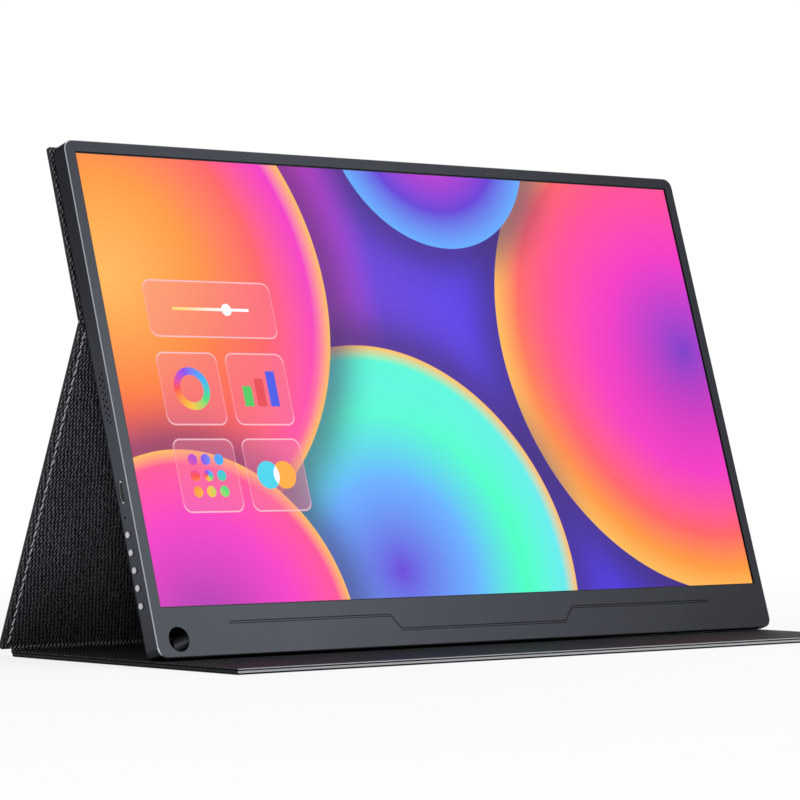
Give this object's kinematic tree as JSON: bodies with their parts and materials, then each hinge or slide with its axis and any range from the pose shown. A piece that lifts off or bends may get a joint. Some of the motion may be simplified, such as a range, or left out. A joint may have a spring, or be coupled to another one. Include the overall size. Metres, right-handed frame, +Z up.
{
  "type": "portable monitor",
  "caption": "Slim portable monitor in a dark metal shell, standing tilted back on its folding leather cover, with side buttons, side sockets and a prop hole.",
  "frame": {"origin": "on the table, midway along and midway across the whole part's box", "axes": "+X to the viewer's right along the screen, +Y to the back, +Z up"},
  "size_m": [0.3559, 0.162, 0.214],
  "materials": {
    "shell_metal": "satin, bead blasted and anodised dark grey",
    "frame_metal": "satin with a bright cut edge",
    "screen_glass": "glossy, lit from behind",
    "leather_black": "woven grain, slightly glossy",
    "cover_board": "plain",
    "magnet_steel": "plated",
    "sheet_steel": "plain",
    "socket_steel": "bright drawn steel",
    "button_metal": "bright satin",
    "black_plastic": "matte",
    "clear_plastic": "clear",
    "white_film": "matte",
    "board_green": "solder mask",
    "ribbon_film": "polyimide",
    "tape_black": "adhesive",
    "cloth_black": "woven",
    "insert_brass": "turned",
    "screw_steel": "black zinc"
  },
  "bodies": {
    "base": {"base_outer_skin": "leather_black", "base_board": "cover_board", "base_inner_skin": "leather_black", "base_magnets": "magnet_steel", "lower_fold": "leather_black"},
    "leg": {"leg_outer_skin": "leather_black", "leg_board": "cover_board", "leg_inner_skin": "leather_black"},
    "monitor": {"upper_fold": "leather_black", "upper_outer_skin": "leather_black", "upper_board": "cover_board", "upper_inner_skin": "leather_black", "cover_magnets": "magnet_steel", "rear_shell": "shell_metal", "front_bezel": "frame_metal", "display_tape": "tape_black", "lcd_cell": "screen_glass", "diffuser_sheet": "white_film", "light_guide": "clear_plastic", "backlight_bar": "white_film", "lcd_tray": "sheet_steel", "source_board": "board_green", "display_ribbon": "ribbon_film", "main_board": "board_green", "button_board": "board_green", "board_ribbon": "ribbon_film", "board_screws": "screw_steel", "usb_c_left": "socket_steel", "usb_c_right_upper": "socket_steel", "usb_c_right_lower": "socket_steel", "socket_tongues": "black_plastic", "mini_hdmi": "socket_steel", "audio_jack": "black_plastic", "speaker_left": "black_plastic", "speaker_right": "black_plastic", "speaker_cloth_left": "cloth_black", "speaker_cloth_right": "cloth_black", "status_light": "clear_plastic", "tact_switches": "black_plastic", "bracket_inserts": "insert_brass", "steel_strip": "sheet_steel"},
    "button_1": {"button_1": "button_metal"},
    "button_2": {"button_2": "button_metal"},
    "button_3": {"button_3": "button_metal"},
    "button_4": {"button_4": "button_metal"},
    "button_5": {"button_5": "button_metal"}
  },
  "joints": [
    {"name": "base_fold", "type": "hinge", "parent": "base", "child": "leg", "pos_m": [0, 0.07973, 0.00128], "axis": [-1, 0, 0], "range_deg": [-10, 15]},
    {"name": "stand_fold", "type": "hinge", "parent": "leg", "child": "monitor", "pos_m": [0, 0.02251, 0.13872], "axis": [-1, 0, 0], "range_deg": [-33.3, 22.2]},
    {"name": "button_1_press", "type": "slide", "parent": "monitor", "child": "button_1", "axis": [1, 0, 0], "range_m": [0, 0.0004], "stiffness_N_per_m": 600, "springref_m": -0.0004},
    {"name": "button_2_press", "type": "slide", "parent": "monitor", "child": "button_2", "axis": [1, 0, 0], "range_m": [0, 0.0004], "stiffness_N_per_m": 600, "springref_m": -0.0004},
    {"name": "button_3_press", "type": "slide", "parent": "monitor", "child": "button_3", "axis": [1, 0, 0], "range_m": [0, 0.0004], "stiffness_N_per_m": 600, "springref_m": -0.0004},
    {"name": "button_4_press", "type": "slide", "parent": "monitor", "child": "button_4", "axis": [1, 0, 0], "range_m": [0, 0.0004], "stiffness_N_per_m": 600, "springref_m": -0.0004},
    {"name": "button_5_press", "type": "slide", "parent": "monitor", "child": "button_5", "axis": [1, 0, 0], "range_m": [0, 0.0004], "stiffness_N_per_m": 600, "springref_m": -0.0004}
  ],
  "couplings": [
    {"joint": "stand_fold", "follows": "base_fold", "ratio": -2.2}
  ]
}
